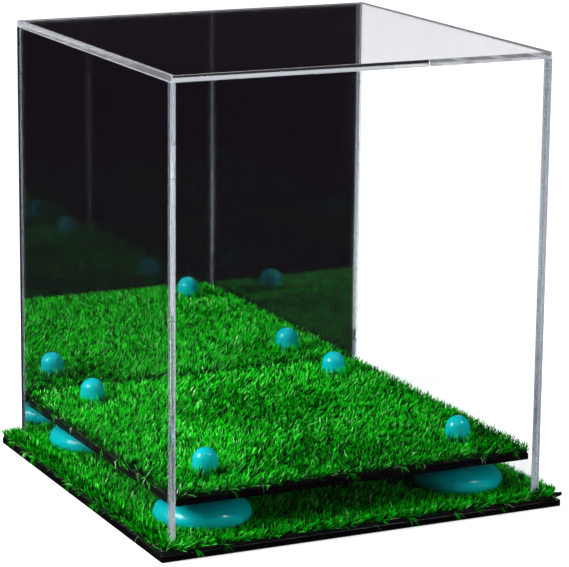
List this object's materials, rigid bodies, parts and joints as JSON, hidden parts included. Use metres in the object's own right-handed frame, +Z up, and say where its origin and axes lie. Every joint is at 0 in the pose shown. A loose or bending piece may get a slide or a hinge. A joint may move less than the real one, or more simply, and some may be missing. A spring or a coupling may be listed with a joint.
{
  "type": "soccer ball display case",
  "caption": "Free-standing clear display case with a mirrored back: lift-off cover, turf-covered base and a turf-covered platform on round risers.",
  "frame": {"origin": "centre of the base board's underside, on the table", "axes": "+Z up, +Y towards the mirrored back, +X to the right as seen from the front"},
  "size_m": [0.3144, 0.3144, 0.3304],
  "materials": {
    "black_acrylic": "black acrylic board, polished faces and sawn edges",
    "clear_acrylic": "clear acrylic sheet, polished, solvent-welded at its edges",
    "mirror_acrylic": "acrylic sheet silvered on its back and painted dark grey behind",
    "turf_backing": "black latex-coated woven backing",
    "turf_pile": "short glossy green plastic blades",
    "turquoise_plastic": "glossy turquoise moulded plastic"
  },
  "bodies": {
    "base": {"base_board": "black_acrylic", "base_turf_backing": "turf_backing", "base_turf_pile": "turf_pile"},
    "cover": {"front_panel": "clear_acrylic", "left_panel": "clear_acrylic", "right_panel": "clear_acrylic", "top_panel": "clear_acrylic", "back_mirror": "mirror_acrylic"},
    "deck": {"deck_board": "black_acrylic", "deck_turf_backing": "turf_backing", "deck_turf_pile": "turf_pile", "riser_foot_front_left": "turquoise_plastic", "riser_foot_front_right": "turquoise_plastic", "riser_foot_back_left": "turquoise_plastic", "riser_foot_back_right": "turquoise_plastic", "riser_cap_front_left": "turquoise_plastic", "riser_cap_front_right": "turquoise_plastic", "riser_cap_back_left": "turquoise_plastic", "riser_cap_back_right": "turquoise_plastic"}
  },
  "joints": [
    {"name": "cover_lift", "type": "slide", "parent": "base", "child": "cover", "axis": [0, 0, 1], "range_m": [0, 0.35]},
    {"name": "deck_lift", "type": "slide", "parent": "base", "child": "deck", "axis": [0, 0, 1], "range_m": [0, 0.25]}
  ]
}
